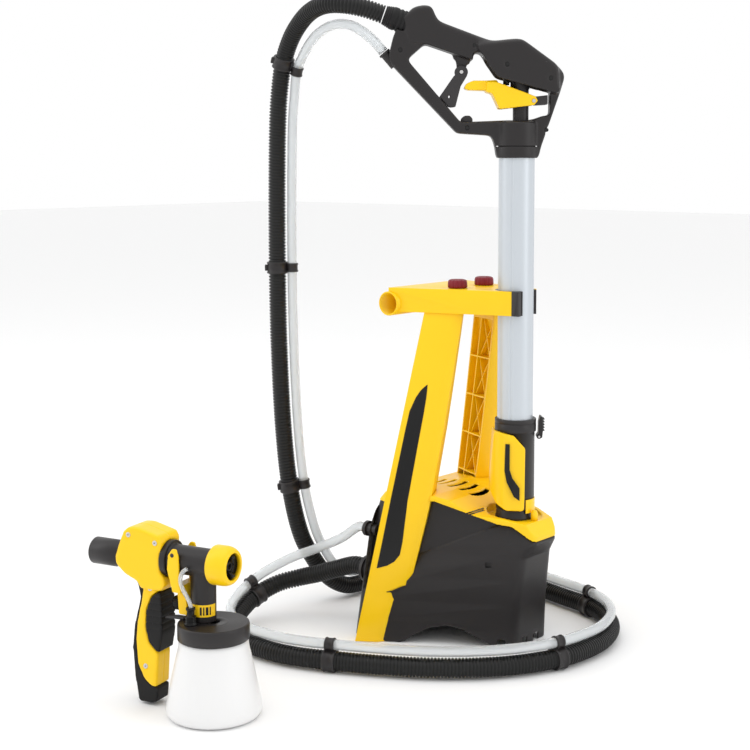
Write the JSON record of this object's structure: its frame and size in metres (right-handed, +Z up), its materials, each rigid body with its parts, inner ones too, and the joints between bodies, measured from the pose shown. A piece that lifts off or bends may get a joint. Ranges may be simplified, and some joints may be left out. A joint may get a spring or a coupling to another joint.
{
  "type": "turbine paint spraying system",
  "caption": "Turbine paint sprayer: standing base with carry frame and extension lance, ribbed air hose and clear paint tube, and a separate cup spray gun.",
  "frame": {"origin": "ground point under the axis of the lance, on the front rubber foot", "axes": "+X to the nose of the base, +Z up, +Y to the far side"},
  "size_m": [0.504, 0.7494, 0.9096],
  "materials": {
    "charcoal_plastic": "fine moulded grain",
    "yellow_plastic": "satin moulded plastic",
    "gloss_black": "glossy black",
    "black_rubber": "soft moulded rubber",
    "red_knob": "satin maroon",
    "grey_plastic": "dark grey moulding",
    "aluminium": "satin anodised",
    "steel": "zinc plated",
    "black_steel": "blackened screws",
    "cast_alloy": "cast",
    "board": "lacquered board",
    "filter_foam": "open foam",
    "hose_black": "ribbed hose",
    "clear_tube": "clear flexible plastic",
    "cup_white": "milky translucent"
  },
  "bodies": {
    "root": {"base_housing": "charcoal_plastic", "base_pan": "charcoal_plastic", "base_feet": "black_rubber", "top_cover": "yellow_plastic", "side_frame_near": "yellow_plastic", "side_frame_far": "yellow_plastic", "frame_inlays": "gloss_black", "platform": "yellow_plastic", "carry_tube": "yellow_plastic", "pole_clip": "charcoal_plastic", "socket_peg": "yellow_plastic", "motor_can": "steel", "fan_volute": "charcoal_plastic", "paint_pump": "cast_alloy", "control_board": "board", "air_filter": "filter_foam", "hose_outlet": "charcoal_plastic", "paint_outlet": "charcoal_plastic", "mains_inlet": "black_rubber", "housing_screws": "black_steel", "lance_tube": "aluminium", "handle_near": "charcoal_plastic", "handle_far": "charcoal_plastic", "handle_neck": "charcoal_plastic", "pivot_bracket": "grey_plastic", "lance_pins": "steel", "lower_housing": "charcoal_plastic", "lower_cover": "yellow_plastic", "lower_inlay": "gloss_black", "socket_ring": "charcoal_plastic", "hose_cuff": "black_rubber", "paint_inlet": "charcoal_plastic", "air_hose": "hose_black", "paint_tube": "clear_tube", "hose_clips": "charcoal_plastic"},
    "turbine_rotor": {"turbine_shaft": "steel", "turbine_fan": "cast_alloy"},
    "air_knob": {"air_knob": "red_knob"},
    "paint_knob": {"paint_knob": "red_knob"},
    "lance_trigger": {"lance_trigger": "yellow_plastic"},
    "lock_lever": {"lock_lever": "grey_plastic"},
    "latch": {"latch": "charcoal_plastic"},
    "gun": {"gun_shell_near": "yellow_plastic", "gun_shell_far": "yellow_plastic", "grip_insert": "black_rubber", "grip_backstrap": "black_rubber", "gun_inlet": "charcoal_plastic", "gun_barrel": "charcoal_plastic", "gun_trigger_pin": "steel", "fluid_nozzle": "steel", "cup_lid": "charcoal_plastic", "pickup_tube": "clear_tube", "pressure_tube": "clear_tube", "gun_screws": "steel"},
    "gun_trigger": {"gun_trigger": "yellow_plastic"},
    "needle": {"needle": "steel"},
    "air_cap": {"air_cap": "gloss_black"},
    "ring_nut": {"ring_nut": "yellow_plastic"},
    "cup": {"cup": "cup_white"},
    "flow_knob": {"flow_knob": "gloss_black"}
  },
  "joints": [
    {"name": "turbine_spin", "type": "hinge", "parent": "root", "child": "turbine_rotor", "pos_m": [-0.095, 0, 0.1], "axis": [0, 0, 1], "continuous": true},
    {"name": "air_knob_turn", "type": "hinge", "parent": "root", "child": "air_knob", "pos_m": [-0.078, -0.032, 0.5], "axis": [0, 0, 1], "range_deg": [-135, 135]},
    {"name": "paint_knob_turn", "type": "hinge", "parent": "root", "child": "paint_knob", "pos_m": [-0.078, 0.032, 0.5], "axis": [0, 0, 1], "range_deg": [-135, 135]},
    {"name": "lance_trigger_pull", "type": "hinge", "parent": "root", "child": "lance_trigger", "pos_m": [0.01647, 0.01382, 0.762], "axis": [-0.6428, 0.766, 0], "range_deg": [0, 9], "stiffness_Nm_per_rad": 0.6, "springref_deg": -20.05},
    {"name": "lock_lever_swing", "type": "hinge", "parent": "root", "child": "lock_lever", "pos_m": [-0.05975, -0.05014, 0.802], "axis": [0.6428, -0.766, 0], "range_deg": [0, 6]},
    {"name": "latch_swing", "type": "hinge", "parent": "root", "child": "latch", "pos_m": [0.02566, 0.02153, 0.292], "axis": [-0.6428, 0.766, 0], "range_deg": [0, 60]},
    {"name": "gun_lift", "type": "slide", "parent": "root", "child": "gun", "axis": [0, 0, 1], "range_m": [0, 0.3]},
    {"name": "gun_trigger_pull", "type": "hinge", "parent": "gun", "child": "gun_trigger", "pos_m": [-0.16382, -0.48435, 0.198], "axis": [-0.225, 0.9744, 0], "range_deg": [0, 8], "stiffness_Nm_per_rad": 0.5, "springref_deg": -17.19},
    {"name": "needle_slide", "type": "slide", "parent": "gun", "child": "needle", "axis": [-0.9744, -0.225, 0], "range_m": [0, 0.0015]},
    {"name": "flow_knob_turn", "type": "hinge", "parent": "gun_trigger", "child": "flow_knob", "pos_m": [-0.16772, -0.48525, 0.133], "axis": [0.9744, 0.225, 0], "range_deg": [0, 360]},
    {"name": "air_cap_turn", "type": "hinge", "parent": "gun", "child": "air_cap", "pos_m": [-0.09951, -0.4695, 0.188], "axis": [0.9744, 0.225, 0], "range_deg": [-90, 90]},
    {"name": "ring_nut_turn", "type": "hinge", "parent": "gun", "child": "ring_nut", "pos_m": [-0.10926, -0.47175, 0.188], "axis": [0.9744, 0.225, 0], "range_deg": [0, 90]},
    {"name": "cup_turn", "type": "hinge", "parent": "gun", "child": "cup", "pos_m": [-0.119, -0.474, 0.05], "axis": [0, 0, 1], "range_deg": [0, 60]}
  ],
  "couplings": [
    {"joint": "needle_slide", "follows": "gun_trigger_pull", "m_per_rad": 0.01}
  ]
}
